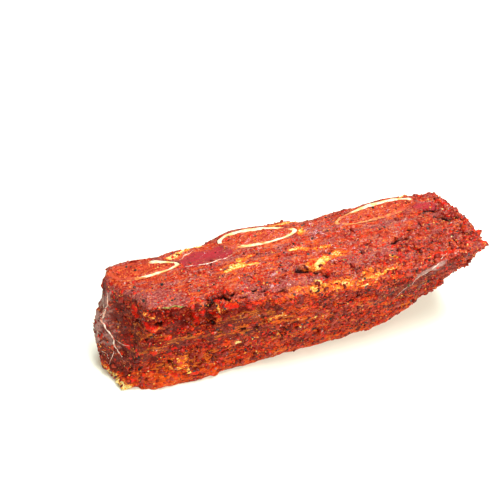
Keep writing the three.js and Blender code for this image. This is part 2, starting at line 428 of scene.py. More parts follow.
def marrowMaterial():
    shades = tints(marrowColours)
    material, shader, place = startMaterial(
        "marrow", Specular_IOR_Level=0.12, Coat_Weight=0.15, Coat_Roughness=0.2)
    mottle = clouds(place, 2.6, (1.8, 1, 1), detail=4)
    fleck = clouds(place, 1.1, (1.6, 1, 1), detail=3)
    fine = clouds(place, 0.5, (1.4, 1, 1), detail=2)
    pore = cells(place, 1.0, (1.4, 1, 1))
    luck = cellLuck(place, 1.0, (1.4, 1, 1))
    colour = mottle.step(0.35, 0.65).blend(shades["base"], shades["light"])
    colour = (fleck.step(0.56, 0.66) * 0.8).blend(colour, shades["fleck"])
    colour = ((0.44 - fine).step(0, 0.08) * 0.7).blend(colour, shades["dark"])
    colour = (fine.step(0.58, 0.66) * 0.6).blend(colour, shades["gold"])
    colour = ((0.3 - pore).step(0, 0.1) * luck.step(0.7, 0.75) * 0.8).blend(colour, shades["pore"])
    colour = ((0.24 - pore).step(0, 0.1) * (1 - luck.step(0.06, 0.08))).blend(colour, shades["paleGrain"])
    setSocket(shader, "Base Color", colour)
    setSocket(shader, "Roughness", 0.4 + mottle * 0.2)
    addBump(shader, mottle * 0.6 + pore * 0.8, 0.8, 0.4)
    return material


# Ribs, in plan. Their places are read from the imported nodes.

ribs = {
    "left": {"halfLength": 17.6, "halfWidth": 6.6, "angle": -7, "pointed": 0.34},
    "middle": {"halfLength": 21.6, "halfWidth": 7.4, "angle": -7, "pointed": 0.22},
    "right": {"halfLength": 25.5, "halfWidth": 7.0, "angle": 4, "pointed": -0.14},
}


def ribBox(name):
    return [np.array(corner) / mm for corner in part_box("bone_" + name)]


def ribOutline(name, steps=120):
    rib = ribs[name]
    t = np.linspace(0, 2 * math.pi, steps, endpoint=False)
    along = rib["halfLength"] * np.cos(t)
    across = rib["halfWidth"] * np.sin(t) * (1 - rib["pointed"] * np.cos(t))
    turn = math.radians(rib["angle"])
    ring = np.stack([
        along * math.cos(turn) - across * math.sin(turn),
        along * math.sin(turn) + across * math.cos(turn)], 1)
    return ring + ribBox(name)[0][:2] - ring.min(0)


def towardRib(points):
    # the way in plan from each point to the nearest rib's outline
    best = np.full((len(points), 2), 1e6)
    for name in ribs:
        ring = ribOutline(name)
        gaps = ring[None] - points[:, None, :2]
        nearest = np.argmin((gaps ** 2).sum(2), 1)
        way = gaps[np.arange(len(points)), nearest]
        nearer = (way ** 2).sum(1) < (best ** 2).sum(1)
        best[nearer] = way[nearer]
    return best


# Marks on the meat, by kind and face: the half width, rise, amount and path of each.
# A top mark's path is in X and Y, a front mark's in X and Z and an end mark's in Y and Z.

planes = {"top": (0, 1), "front": (0, 2), "end": (1, 2)}
marks = [
    # fat in the meat before and behind the middle rib
    ("fat", "top", [
        (2.5, 0.35, 1, [(-31.5, 1.8), (-26, 2)]), (1.3, 0.2, 0.8, [(-36, -0.4), (-31, 1.4)]),
        (1.5, 0.1, 0.75, [(-24, 1.8), (-18, 1.2)]), (1.8, 0.1, 0.6, [(-27, 5.5), (-21, 6.5)]),
        (2.6, 0.5, 1, [(9, -10.5), (12, -8), (15.5, -7.4)]),
        (3, 0, 0.52, [(4, -9.4), (10, -10), (21, -5.6)]), (0.9, 0.15, 1, [(0.5, 4.4), (3.4, 4)]),
        (1.5, 0.1, 0.52, [(3, 4.2), (14, 1.6), (22, 0.8)]), (1.5, 0, 0.62, [(9.8, 15), (12.2, 17)]),
        (1.1, 0.1, 0.85, [(-2, 25.2), (5, 26.2), (14, 26.5)]),
        (1.6, 0.2, 1, [(-58, 20), (-52.5, 22.3), (-48, 24)]), (0.9, 0.2, 1, [(-44.6, 25.3), (-40.8, 24.2)]),
        (0.7, 0.2, 1, [(46.3, -17.3), (49, -20.8)]), (1.1, 0.2, 1, [(77, 25.5), (88, 25.8)])]),
    # lumpy fat along the top front edge
    ("fat", "top", [
        (1.7, 1, 0.95, [(4, -22.8), (6, -24.6)]), (1.3, 0.8, 1, [(-0.5, -25.6), (1.5, -26.6)])]),
    ("fat", "front", [(1, 0.7, 0.75, [(9.5, 52), (11.5, 52.4)])]),
    ("fat", "top", [
        (3.4, 0.2, 0.46, [(-7, -24), (8, -25.5), (20, -27.5)]),
        (1.3, 0.7, 0.95, [(14.8, -27.6), (16.5, -28)]), (1.6, 0.5, 0.64, [(24, -28.6), (33, -28.5)]),
        (1.3, 0.4, 0.76, [(35, -27.4), (44, -26.6)]), (1.4, 0.2, 0.56, [(28, -23.5), (33, -23)])]),
    # bare muscle between the left and middle ribs
    ("bare", "top", [
        (4.6, -0.2, 1, [(-51, 14), (-44, 16), (-36, 16.5), (-33, 14)]),
        (3.4, -0.2, 0.7, [(80, 15), (90, 12)])]),
    # the orange flesh round the fat
    ("amber", "top", [
        (4, 0, 0.8, [(-40, -1), (-27, 2.2), (-14, 3)]), (4.5, 0, 0.8, [(-4, -11), (12, -8.3), (26, -5)]),
        (3.5, 0, 0.7, [(-6, 4.3), (10, 5), (28, 9)]), (4, 0, 1, [(-12, -24), (6, -25), (45, -26)])]),
    # cracks and pits on top, sunk in and with painted shade in them
    ("deep", "top", [
        (1.5, -3, 1, [(-52.5, -13), (-50, -12.6)]), (1.6, -3, 1, [(-51, -17.5), (-48.6, -17)]),
        (1.7, -3, 1, [(-47.4, -13.6), (-43.5, -16.2), (-40.5, -18)]),
        (1.4, -2.6, 1, [(-38.5, -15.6), (-36.2, -14.6)]), (1.1, -2, 1, [(-34.5, -18.4), (-32.4, -19)]),
        (1, -1.8, 1, [(-28.5, -15), (-26.6, -16)]), (1.7, -2.8, 1, [(-24.5, -18.6), (-22.6, -18)]),
        (1, -1.6, 0.8, [(-17, -21.5), (-14, -21)]), (0.9, -1.4, 0.8, [(24, -19), (28, -19.6)]),
        (0.9, -1.4, 0.8, [(36, -6), (41, -5)]), (1, -1.6, 0.9, [(66, -2), (71, -3)]),
        (1, -1.6, 0.9, [(70, -16), (74, -15)]), (1.6, -2.4, 1, [(-1.5, -9.3), (2, -11.6), (4.5, -11.8)]),
        (1.4, -2.2, 1, [(6.5, -13.6), (9, -14.6)]), (1.4, -2, 1, [(9, -17), (10.5, -19.2)])]),
    # painted shade in a shallow hollow by the cracks
    ("dark", "top", [(3, -0.4, 0.6, [(-3, -10), (3, -13.5), (12, -18)])]),
    ("deep", "top", [
        (1.3, -2.2, 1, [(53, -8.6), (57, -7.2), (61, -7.6)]), (2, -2.4, 1, [(88, 2), (91.5, -1)]),
        (1.7, -2, 1, [(84, 10), (89, 8.5)]), (1.9, -2.4, 1, [(91, -14.5), (94, -18)]),
        (1.2, -1.8, 1, [(96, -1), (98, -5)]), (1.1, -1.6, 1, [(86.5, 4), (88.5, 2.5)]),
        (1.1, -1.6, 1, [(90, -7.5), (93, -9.5)])]),
    # painted shade round the pits at the right end
    ("dark", "top", [
        (8, -0.3, 1, [(78, 12), (90, 5), (97, -8)]), (8, 0, 0.5, [(60, -14), (80, -10), (94, -20)])]),
    # the deep fold under the top edge at the left, with painted shade in it
    ("dark", "front", [(4.4, -3, 1, [(-70, 47.6), (-60, 45.5), (-51, 43)])]),
    ("deep", "front", [
        (1.2, -1.4, 1, [(-69, 50.4), (-60, 49.8), (-57, 48.6)]), (1.1, -1.2, 0.8, [(-44, 47), (-30, 47.5)])]),
    # orange fat low on the front and at the left foot, and pale bits in the fibres
    ("fat", "front", [
        (3.6, 0.6, 0.54, [(-67, 17), (-57, 18.6)]), (2.4, 0.5, 0.55, [(-70, 13.5), (-63, 12.5)]),
        (1.4, 0.4, 0.76, [(-64.5, 9.6), (-58.5, 10.8)])]),
    ("amber", "front", [
        (7, 0.2, 1, [(-74, 12), (-60, 15), (-50, 14)]), (3.5, 0.2, 0.9, [(-88, 34), (-78, 35), (-68, 32)]),
        (5, 0.1, 0.9, [(-26, 36), (0, 35), (14, 33)])]),
    ("fat", "front", [(2.2, 0.3, 0.9, [(-101, 4.5), (-92, 2.5)])]),
    ("fat", "end", [(2.5, 0.3, 0.9, [(8, 5), (2, 4), (-6, 2)])]),
    ("fat", "front", [
        (0.8, 0.3, 1, [(-29, 24), (-26.5, 24.4)]), (0.8, 0.3, 1, [(-37.5, 22.3), (-35, 22.7)]),
        (1.5, 0.3, 0.6, [(-22.5, 38.2), (-15, 40.4)]), (0.8, 0.3, 0.9, [(-34, 13.4), (-31, 14)]),
        (1.3, 1.3, 0.85, [(-47.2, 53.6), (-46, 50)]), (0.8, 0.6, 0.7, [(-79, 50), (-75.5, 49)])]),
    # painted shade at the left end and under the overhanging top edge, darkening the meat toward maroon
    ("dark", "front", [
        (13, 0, 1, [(-98, 38), (-80, 34), (-66, 36)]), (7, 0, 1, [(-74, 46), (-48, 42), (-30, 42)]),
        (9, 0, 1, [(60, 40), (88, 42)])]),
    ("dark", "end", [(9, 0, 1, [(16, 46), (4, 40), (2, 16)])]),
    # red lumps of paste that hang over the top front edge
    ("red", "front", [
        (1.8, 1.6, 1, [(-84, 50), (-82.5, 46)]), (1.1, 1.1, 0.6, [(-70, 53.5), (-64, 53)]),
        (2, 2, 1, [(-53.5, 50), (-56, 47), (-56.6, 43)]), (1.6, 1.5, 1, [(-49, 45), (-46, 43.5)])]),
    ("red", "top", [
        (1.2, 1.3, 1, [(-54.5, -13.8), (-53, -14.6)]), (1.2, 1.3, 0.8, [(-47.5, -16.6), (-45.5, -18)]),
        (1.2, 1.2, 0.8, [(-41.5, -15), (-39.5, -14)]), (1, 0.9, 0.8, [(-33, -15.5), (-30, -16.5)])]),
    ("red", "front", [
        (1.6, 1.3, 1, [(-44, 52), (-38, 51)]), (1.3, 1.1, 0.8, [(-33, 51), (-27, 51.5)]),
        (1.7, 1.6, 1, [(-79, 42), (-76, 40)])]),
    ("red", "top", [
        (1.6, 1.2, 0.6, [(86, -22), (93, -20)]), (2.4, 1.6, 0.55, [(94, -19.5), (99, -18)]),
        (1.3, 1.5, 1, [(95, -25.5), (97, -25.8)]), (1.6, 1.2, 0.8, [(96, 9.5), (94.5, 15)]),
        (1.4, 1.2, 0.6, [(93, -14), (95, -10)]), (1.3, 0.8, 1, [(66, -26), (80, -25.5)])]),
    ("red", "end", [(1.6, 1.6, 1, [(15, 13), (14, 10)])]),
    # the foot swells out here and there
    ("swell", "front", [
        (5, 1.3, 1, [(-82, 2), (-52, 3)]), (9, 1.5, 1, [(-74, 3), (-58, 3)]),
        (4, 0.9, 1, [(-46, 3), (-14, 4)]), (4, 1.6, 1, [(38, 8), (58, 14)]),
        (3.5, 2.2, 1, [(71, 24), (78, 27)])]),
    ("swell", "end", [(4.5, 1.9, 1, [(8, 5), (-3, 2)])]),
    # greyish purple flesh where the paste is thin, paler on top in part as a painted sheen
    ("mauve", "front", [
        (4.4, -0.2, 1, [(-44, 37), (-32, 38), (-19, 42)]), (4, 0, 0.7, [(-66, 30), (-40, 29), (-20, 31)]),
        (8, 0, 1, [(-92, 42), (-88, 24)]), (6, 0, 1, [(36, 34), (56, 42), (70, 49)]),
        (4, 0, 1, [(-88, 22), (-74, 26)])]),
    ("mauve", "top", [
        (4, 0, 1, [(-30, -17), (-14, -19.5), (6, -20)]), (5.5, 0, 0.9, [(-90, 2), (-78, -4), (-64, -8)]),
        (4.5, 0, 1, [(28, -14), (46, -13)]), (3.4, 0, 0.8, [(15, 14), (26, 16)]),
        (3.4, 0, 0.9, [(-42, 12), (-36, 9), (-28, 8)]), (3.4, 0, 0.7, [(48, 6), (64, 4)])]),
    # whitish skin at the left end and along the top front edge at the right
    ("film", "end", [
        (6, 0.3, 0.56, [(14, 46), (11, 34), (6, 22)]), (4, 1.1, 0.85, [(14, 32), (13.5, 16)])]),
    ("film", "front", [(2.2, 0.2, 0.75, [(54, 45.5), (62, 49), (71, 53)])]),
    ("mauve", "end", [(10, 0.2, 1, [(12, 46), (12, 36), (4, 14)])]),
]
# Small round marks on the front: kind, half width, rise, and the X and Z of each
frontDots = [
    # small dents with painted shade in them
    ("deep", 1.2, -1.2, [
        (-74.2, 42.7), (-80.8, 32.5), (-70.8, 17.3), (-58.7, 17.5), (-40.8, 17.2), (-59.9, 34.5),
        (-44.9, 33.2), (-51.5, 18.6), (-81.6, 14.5), (-48.2, 38.5), (-34.1, 31.8), (-27.8, 31.6),
        (-24, 38.7), (-42.4, 12.7), (-23.1, 12.3), (-69, 14.6), (-87.5, 31.5), (10.9, 29.2), (20.3, 41.7)]),
    ("fat", 0.8, 0.5, [(-14.2, 37.1), (-7.9, 36.4), (2.1, 35), (-6.1, 29.1), (-16, 23.9)]),
    ("red", 1.2, 0.9, [
        (-80.5, 44.4), (-88.7, 25.4), (-63.6, 9.5), (-48.1, 9.5), (-35, 9.7), (-23.7, 13.5),
        (-78.6, 26.6), (-68, 26), (-84, 12), (-56, 40), (-71, 34)]),
]
# Short pale fibres along the front
frontFibres = {
    "count": 20, "seed": 12, "x": (-88, 70), "z": (6, 42), "aboveFoot": 8,
    "length": (8, 26), "wide": (1.2, 3), "rise": 0.15}
# How the underside curves up toward the right end
underside = {"start": 25, "run": 70, "rise": 26, "power": 1.6}


def undersideRise(x):
    along = np.maximum(x - underside["start"], 0) / underside["run"]
    return underside["rise"] * along ** underside["power"]


def allMarks(random):
    # each mark as a row of its own, and then the fibres and the dots
    made = [(kind, face, *mark) for kind, face, group in marks for mark in group]
    for i in range(frontFibres["count"]):
        x, z = random.uniform(*frontFibres["x"]), random.uniform(*frontFibres["z"])
        z = max(z, frontFibres["aboveFoot"] + undersideRise(x))
        half = random.uniform(*frontFibres["length"]) / 2
        wide = random.uniform(*frontFibres["wide"])
        path = [(x - half, z - 0.06 * half), (x + half, z + 0.1 * half)]
        made.append(("amber", "front", wide, frontFibres["rise"], 1, path))
    for kind, wide, rise, spots in frontDots:
        for x, z in spots:
            path = [(x - 0.5 * wide, z), (x + 0.5 * wide, z + 0.2)]
            made.append((kind, "front", wide, rise, 0.85, path))
    return made


def strokeWeight(points, face, path, wide, wobble):
    # 1 on the mark's path, falling to 0 at its ragged edge
    flat = points[:, planes[face]]
    path = np.array(path, float)
    reach = 3 * wide
    close = np.all((flat > path.min(0) - reach) & (flat < path.max(0) + reach), axis=1)
    near = flat[close]
    best = np.full(len(near), 1e6)
    for start, run in zip(path[:-1], np.diff(path, axis=0)):
        t = np.clip(((near - start) @ run) / (run @ run), 0, 1)
        best = np.minimum(best, np.hypot(*(near - start - t[:, None] * run).T))
    weight = np.zeros(len(points))
    weight[close] = 1 - between(0.35 * wide, 1.3 * wide, best * (1 + 0.7 * wobble[close]))
    return weight


# The meat

meat = {
    "voxel": 0.62,
    "triangles": 192000,  # what the mesh is thinned to, once its relief is made
    "lumps": {"size": 6, "height": 1.5},
    "clots": {"size": 2.8, "height": 1.2},
    "crumbs": {"size": 1.4, "height": 0.55},
    "fibres": {"size": 1.5, "height": 0.65, "stretch": 8},
    "topFrom": (44, 50),  # the heights over which the top's own colours come in
    "calmRound": (0.6, 6),  # the gaps from a rib over which the relief of the top comes in
    "markedFrom": (0.05, 0.6),  # and the gaps over which the marks do
    "edgeStrip": (8, 20),  # how far to the front the coarse edge of the top begins
    "crumblyFrom": (15, 45),  # where the top turns crumbly, along the strip
    "crumblyEnd": (74, 92),
    "footTo": (2, 14),  # the heights over which the relief above the foot comes in
    "seamGap": 0.24,  # how much of the seam round a rib the flesh closes
    "flushRound": (1, 2.6),  # the gaps from a rib over which the flesh stops being flush with it
}


def cellBumps(points, size):
    # rounded bumps of about that size, from -0.45 between them to 0.45 on their middles
    nearest = [noise.voronoi(Vector(p))[0][0] for p in (points / size).tolist()]
    return 0.45 - np.array(nearest)


def thin(piece, triangles, fields):
    # thins the mesh and takes each field over from the nearest old point
    old = readPoints(piece)
    tree = kdtree.KDTree(len(old))
    for i, point in enumerate(old.tolist()):
        tree.insert(point, i)
    tree.balance()
    now = sum(len(face.vertices) - 2 for face in piece.data.polygons)
    addModifier(piece, "DECIMATE", ratio=triangles / now)
    nearest = np.array([tree.find(point)[1] for point in readPoints(piece).tolist()])
    for name, values in fields.items():
        writeField(piece, name, values[nearest])


def buildMeat(material):
    piece = copyNode("meat", "spiced_meat")
    addModifier(piece, "REMESH", mode="VOXEL", voxel_size=meat["voxel"] * mm)
    addModifier(piece, "SMOOTH", factor=0.5, iterations=2)
    points = readPoints(piece)
    normals = readPoints(piece, "normal")
    low, high = points.min(0), points.max(0)
    way = towardRib(points)
    ribGap = np.hypot(*way.T)
    upward = normals[:, 2]
    level = between(0.55, 0.9, np.abs(upward))  # 1 on the two sawn faces
    calm = 1 - level * (1 - between(*meat["calmRound"], ribGap))
    calm = calm * between(0.3, 1.2, ribGap)
    topSide = between(0.2, 0.75, upward) * between(*meat["topFrom"], points[:, 2])
    facing = between(0.1, 0.7, -normals[:, 1])
    frontSide = facing * between(-2, 6, -points[:, 1])
    underSide = between(0.5, 0.9, -upward)
    edgeStrip = topSide * between(*meat["edgeStrip"], -points[:, 1] + 0.05 * points[:, 0])
    leftEnd = between(0.3, 0.8, -normals[:, 0])

    wobble = noiseAt(points, 2.2, (1.8, 1, 1), seed=21)
    fields = {kind: np.zeros(len(points)) for kind in sorted({mark[0] for mark in marks})}
    overEdge = between(0.6, 0.9, upward) * between(50, 53, points[:, 2])
    sides = {
        "top": between(47, 51, points[:, 2]),
        "front": between(-0.5, 3, -points[:, 1]) * (1 - overEdge),
        "end": leftEnd,
    }
    risen = np.zeros(len(points))
    for kind, face, wide, rise, amount, path in allMarks(np.random.RandomState(frontFibres["seed"])):
        side = sides[face] * (1 - underSide) * between(*meat["markedFrom"], ribGap)
        weight = strokeWeight(points, face, path, wide, wobble) * side
        fields[kind] = np.maximum(fields[kind], weight * amount)
        risen = risen + rise * weight
    thinPaste = np.maximum(fields["mauve"], fields["film"]) * (1 - fields["red"])

    lumps = noiseAt(points, meat["lumps"]["size"], seed=3) * meat["lumps"]["height"]
    clots = cellBumps(points, meat["clots"]["size"]) * meat["clots"]["height"]
    crumbs = cellBumps(points, meat["crumbs"]["size"]) * meat["crumbs"]["height"]
    fibres = noiseAt(points, meat["fibres"]["size"], (meat["fibres"]["stretch"], 1, 1), seed=9)
    fibres = fibres * meat["fibres"]["height"]
    crumbly = 0.35 * between(*meat["crumblyFrom"], points[:, 0])
    crumbly = crumbly + 0.4 * between(*meat["crumblyEnd"], points[:, 0])
    # the back and the right end are calmer
    away = 0.25 * between(0, 0.7, np.maximum(normals[:, 0], normals[:, 1]))
    rough = 0.2 + 0.9 * edgeStrip + (0.75 - away) * (1 - level) + crumbly * topSide
    rough = np.clip(rough * (1 + 0.5 * noiseAt(points, 9, seed=15)), 0, 1.4)
    foot = between(*meat["footTo"], points[:, 2] - undersideRise(points[:, 0]) * frontSide)
    rough = rough * (0.28 + 0.72 * foot) * (1 - 0.6 * thinPaste)
    relief = (clots + crumbs) * rough + fibres * (0.35 + 0.8 * frontSide) * (0.7 + 0.3 * foot)
    lift = (lumps * (1 - 0.65 * topSide) * (0.25 + 0.75 * foot) + relief) * (1 - 0.75 * underSide) + risen
    points = points + normals * (lift * calm)[:, None]

    # the flesh closes on the ribs, and is flush with them
    closing = np.clip(1 - (ribGap - 0.3) / 1.6, 0, 1) * meat["seamGap"] / np.maximum(ribGap, 0.05)
    points[:, :2] += way * closing[:, None]
    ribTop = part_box("bone_middle")[1][2] / mm
    flush = between(0.2, 0.6, upward) * between(50, 53, points[:, 2])
    flush = flush * (1 - between(*meat["flushRound"], ribGap))
    points[:, 2] += flush * np.maximum(ribTop + 0.1 + 0.4 * wobble - points[:, 2], 0)
    writePoints(piece, np.clip(points, low, high))

    fields["top"] = topSide
    fields["foot"] = (1 - between(4, 17, points[:, 2])) * (1 - level * topSide)
    # painted shade: 1 in the hollows of the relief, where the material darkens the paste
    fields["low"] = (1 - between(-0.75, -0.05, relief)) * (1 - underSide)
    thin(piece, meat["triangles"], fields)
    finishPiece(piece, material, "spiced_meat", "meat")
    print("meat:", len(piece.data.polygons), "faces")
    return piece


# Bones and marrow

bone = {"wall": 2.3, "unevenness": 0.8, "inset": 0.1, "levels": 2, "topCuts": (0.5, 2.5, 8)}
# Where paste hides a ring and where its wall is thick: bearing from the rib's middle, half width, amount
stains = {
    "left": [(130, 86, 1), (236, 34, 0.4)], "middle": [(189, 12, 1), (3, 5, 0.7), (262, 30, 0.3)],
    "right": [(351, 14, 1), (262, 92, 0.52), (176, 12, 0.45)],
}
thickened = {"left": [(20, 30, 0.5)], "middle": [(128, 52, 1.5), (352, 16, 2.6)], "right": [(100, 60, 0.7)]}


def bearingFrom(points, low, high):
    middle = (low + high) / 2
    return np.degrees(np.arctan2(points[:, 1] - middle[1], points[:, 0] - middle[0]))


def aroundRib(bearing, stretches, soft=0.75):
    # the largest amount of the stretches of ring that a bearing lies in
    best = np.zeros(len(bearing))
    for centre, half, amount in stretches:
        off = np.abs((bearing - centre + 180) % 360 - 180)
        best = np.maximum(best, amount * (1 - between(soft * half, half * 1.1, off)))
    return best


def buildBone(name, material):
    piece = copyNode("bone_" + name, "sawn_bone_" + name)
    low, high = ribBox(name)
    pick(piece)
    bpy.ops.object.mode_set(mode="EDIT")
    for depth in bone["topCuts"]:
        for height in (low[2] + depth, high[2] - depth):
            bpy.ops.mesh.select_all(action="SELECT")
            bpy.ops.mesh.bisect(plane_co=(0, 0, height * mm), plane_no=(0, 0, 1))
    bpy.ops.mesh.select_all(action="SELECT")
    bpy.ops.mesh.tris_convert_to_quads()
    bpy.ops.object.mode_set(mode="OBJECT")
    levels = bone["levels"]
    addModifier(piece, "SUBSURF", levels=levels, render_levels=levels)
    points = readPoints(piece)
    normals = readPoints(piece, "normal")
    uneven = noiseAt(points, 5, (1, 1, 4), seed=5) + 0.5 * noiseAt(points, 2, (1, 1, 4), seed=8)
    uneven = uneven * bone["unevenness"]
    level = np.abs(normals[:, 2])
    points = points + normals * (uneven * (1 - 0.6 * level) - bone["inset"])[:, None]
    bearing = bearingFrom(points, low, high)
    # 0 on the outer side of the wall, 1 on the inner
    gaps = ribOutline(name)[None] - points[:, None, :2]
    inward = np.sqrt((gaps ** 2).sum(2).min(1)) / bone["wall"]
    middle = (low + high) / 2
    toMiddle = middle[:2] - points[:, :2]
    toMiddle /= np.maximum(np.hypot(*toMiddle.T), 1)[:, None]
    thicker = aroundRib(bearing, thickened[name], 0.3) * between(0.3, 0.9, inward)
    points[:, :2] += toMiddle * thicker[:, None]
    writePoints(piece, np.clip(points, low, high))
    nearFront = between(-0.2, 0.6, -np.sin(np.radians(bearing)))
    edges = nearFront * (1 - between(0.1, 0.4, inward)) * 0.7
    ragged = noiseAt(points, 3, (1, 1, 3), seed=17) * 0.35
    stain = np.maximum(aroundRib(bearing, stains[name]) + ragged * (level > 0.5), 0.85 * edges)
    writeField(piece, "stain", stain)
    finishPiece(piece, material, "bone", "bone_" + name)


marrow = {
    "grow": 0.55, "voxel": 0.62, "height": 0.35, "above": 0.12, "ragged": 0.8,
    "back": 0.9,  # how far the core stays back where the wall is thick
    "over": 1.2,  # and how far it runs over the ring where paste hides it
}


def buildMarrow(name, material):
    piece = copyNode("marrow_" + name, "marrow_core_" + name)
    low, high = ribBox(name)
    addModifier(piece, "DISPLACE", strength=marrow["grow"] * mm, mid_level=0)
    addModifier(piece, "REMESH", mode="VOXEL", voxel_size=marrow["voxel"] * mm)
    points = readPoints(piece)
    normals = readPoints(piece, "normal")
    upward = between(0.3, 0.8, normals[:, 2])
    rough = noiseAt(points, 2.4, (1.6, 1, 1), seed=31) + 0.6 * noiseAt(points, 1.3, seed=41)
    outward = noiseAt(points, 1.8, (1, 1, 3), seed=51) * marrow["ragged"]
    bearing = bearingFrom(points, low, high)
    outward = outward - marrow["back"] * aroundRib(bearing, thickened[name], 0.3)
    outward = outward + marrow["over"] * aroundRib(bearing, stains[name])
    flat = normals * (1, 1, 0)
    points = points + flat * (outward * (1 - upward))[:, None]
    top = high[2] + marrow["above"] + rough * marrow["height"]
    points[:, 2] += upward * (top - points[:, 2])
    writePoints(piece, points)
    finishPiece(piece, material, "marrow", "marrow_" + name)
    return piece


# Spices, as bits with a size in millimetres

spices = {
    "chilli_flakes": {
        "count": 2300, "size": (0.35, 0.95), "stretch": (1.5, 1, 0.4), "sink": 0.0, "seed": 1, "calm": 0.6,
        "turn": 60, "shades": ("720a04", "b41a08", "cc3008"), "where": (1.0, 1.0, 0.8)},
    "orange_grains": {
        "count": 2500, "size": (0.22, 0.55), "stretch": (1.1, 1, 0.8), "sink": 0.1, "seed": 2, "calm": 0.4,
        "shades": ("a13813", "bc6122", "c79043"), "where": (1.0, 1.0, 0.8)},
    "pepper": {
        "count": 1400, "size": (0.26, 0.85), "stretch": (1.2, 1, 0.75), "sink": 0.1, "seed": 3, "calm": 0.2,
        "shades": ("0a0808", "1c1818", "484042"), "where": (0.55, 1.0, 0.8)},
    "paste_grit": {
        "count": 4200, "size": (0.35, 0.9), "stretch": (1.9, 1, 0.5), "sink": 0.15, "seed": 6, "calm": 0.8,
        "turn": 50, "shades": ("3a0604", "70140b", "912513", "a53c22"), "where": (0.6, 1.0, 1.0)},
    "paste_clots": {
        "count": 1500, "size": (0.6, 1.6), "stretch": (1.5, 1, 0.6), "sink": 0.3, "seed": 4, "calm": 0.9,
        "rounded": True, "shades": ("3d0805", "7a190e", "9c371e"), "where": (0.75, 1.1, 1.0)},
    # pinkish pale flecks on the top: painted glints on the wet paste
    "painted_glint_flecks": {
        "count": 700, "size": (0.25, 0.5), "stretch": (2, 1, 0.35), "sink": 0.0, "seed": 10, "calm": 0.35,
        "turn": 60, "clumps": (9, 1.6), "shades": ("8c4c48", "a0665f", "b48f86"), "where": (1.0, 0.12, 0.3)},
    "garlic_bits": {
        "count": 170, "size": (0.3, 0.6), "stretch": (1.3, 1, 0.7), "sink": 0.1, "seed": 5, "calm": 0.2,
        "shades": ("bc7a2b", "c49949", "c9b88a"), "where": (1.0, 1.0, 0.8)},
    "herb_bits": {
        "count": 14, "size": (0.4, 0.8), "stretch": (2.6, 1, 0.3), "sink": 0.0, "seed": 17, "calm": 0.9,
        "shades": ("2c3413", "545925", "777038"), "where": (0.6, 1.0, 0.8)},
    "fat_crumbs": {
        "count": 320, "size": (0.3, 0.75), "stretch": (2, 1, 0.6), "sink": 0.3, "seed": 8, "calm": 0,
        "onFat": True, "turn": 25, "shades": ("b55916", "bf8422", "c7aa4f", "cdc59b"),
        "where": (1.0, 0.35, 1.0)},
    "sinew_threads": {
        "count": 900, "size": (0.3, 0.7), "stretch": (3, 1, 0.7), "sink": 0.25, "seed": 9, "calm": 0.95,
        "turn": 14, "tilt": 0.1, "clumps": (8, 3), "shades": ("540902", "9e2508", "ae3a0f", "bd6d35"),
        "where": (0.05, 1.0, 0.4)},
}
# calm is how much the top round the ribs is spared, turn how far a bit may turn in degrees, tilt how far it
# may stand askew, clumps the size and stretch of the patches it comes in, sink how deep it sits, in its own
# radii, and where its share on the top, on the front and ends, and on the back.
usualSpice = {"turn": 180, "tilt": 0.35, "jitter": 0.28}
# How much fewer bits lie on each kind of mark, and where on the meat they begin
sparse = {"deep": 0.9, "bare": 0.75, "mauve": 0.6, "film": 0.7, "dark": 0.5}
sparing = {
    "ribs": (0.8, 3.5), "foot": (-2, 8), "lowest": 1.2, "top": (50, 54), "back": (4, 20), "end": (60, 85)}


def spiceMaterial(name, shades):
    material, shader, place = startMaterial(
        name, Roughness=0.42, Specular_IOR_Level=0.14, Coat_Weight=0.1, Coat_Roughness=0.15)
    tone = field(place, "tone") * 0.8 + clouds(place, 0.8, detail=2) * 0.2
    stops = [(i / (len(shades) - 1), shade) for i, shade in enumerate(shades)]
    setSocket(shader, "Base Color", tone.ramp(stops))
    addBump(shader, clouds(place, 0.45, detail=2), 0.5, 0.12)
    return material


def surfaceOf(piece):
    # a piece's triangles: corners, normals, twice their areas, and how much of each mark they carry
    piece.data.calc_loop_triangles()
    count = len(piece.data.loop_triangles)
    corners = np.zeros(count * 3, np.int64)
    piece.data.loop_triangles.foreach_get("vertices", corners)
    corners = corners.reshape(-1, 3)
    triangles = readPoints(piece)[corners]
    crosses = np.cross(triangles[:, 1] - triangles[:, 0], triangles[:, 2] - triangles[:, 0])
    twice = np.linalg.norm(crosses, axis=1)
    fields = np.zeros((count, 1 + len(sparse)))
    for i, name in enumerate(["fat"] + list(sparse)):
        if name in piece.data.attributes:
            values = np.zeros(len(piece.data.vertices), np.float32)
            piece.data.attributes[name].data.foreach_get("value", values)
            fields[:, i] = values[corners].mean(1)
    return triangles, crosses / np.maximum(twice, 1e-9)[:, None], twice, fields


def bitShape(rounded):
    bpy.ops.mesh.primitive_ico_sphere_add(subdivisions=2 if rounded else 1, radius=1)
    shape = bpy.context.object
    points = readPoints(shape) * mm
    faces = [tuple(face.vertices) for face in shape.data.polygons]
    bpy.data.objects.remove(shape)
    return points, np.array(faces)


def unit(ways):
    return ways / np.maximum(np.linalg.norm(ways, axis=1), 1e-6)[:, None]


